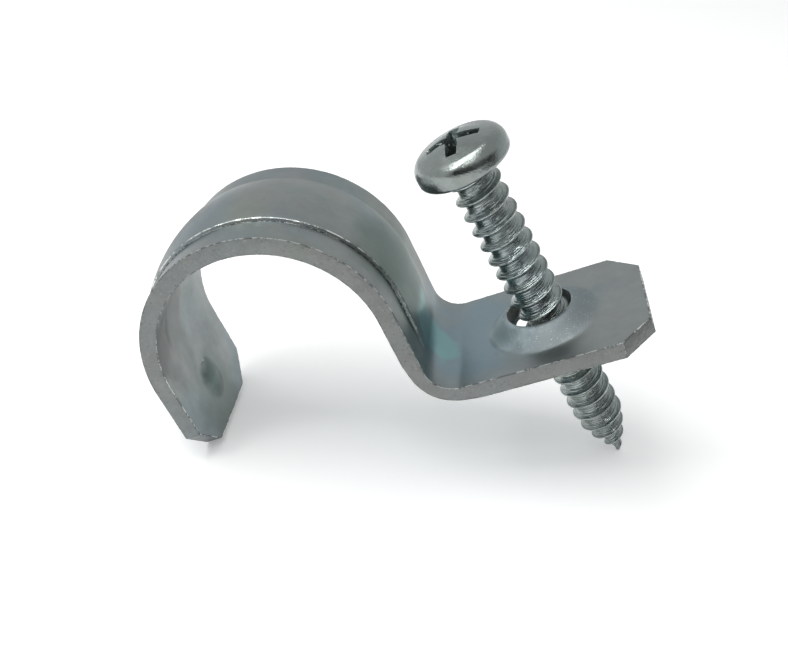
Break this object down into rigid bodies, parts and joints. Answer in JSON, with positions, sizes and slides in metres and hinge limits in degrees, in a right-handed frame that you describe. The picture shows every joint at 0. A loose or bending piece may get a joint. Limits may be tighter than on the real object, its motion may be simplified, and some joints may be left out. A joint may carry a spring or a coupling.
{
  "type": "conduit strap",
  "caption": "Bent zinc-plated steel strap that holds round conduit against a wall, with a pan-head screw standing loose in the raised hole of its foot.",
  "frame": {"origin": "on the axis of the held conduit, at the strap's mid width", "axes": "+X from the conduit towards the foot's free end, +Y along the conduit, +Z off the wall, with the foot's underside on the wall at z = -8.4 mm"},
  "size_m": [0.0384, 0.0128, 0.0334],
  "materials": {
    "zinc_sheet": "bright zinc plate, satin",
    "zinc_screw": "bright zinc plate, glossy"
  },
  "bodies": {
    "root": {"strap": "zinc_sheet", "screw": "zinc_screw"}
  },
  "joints": []
}
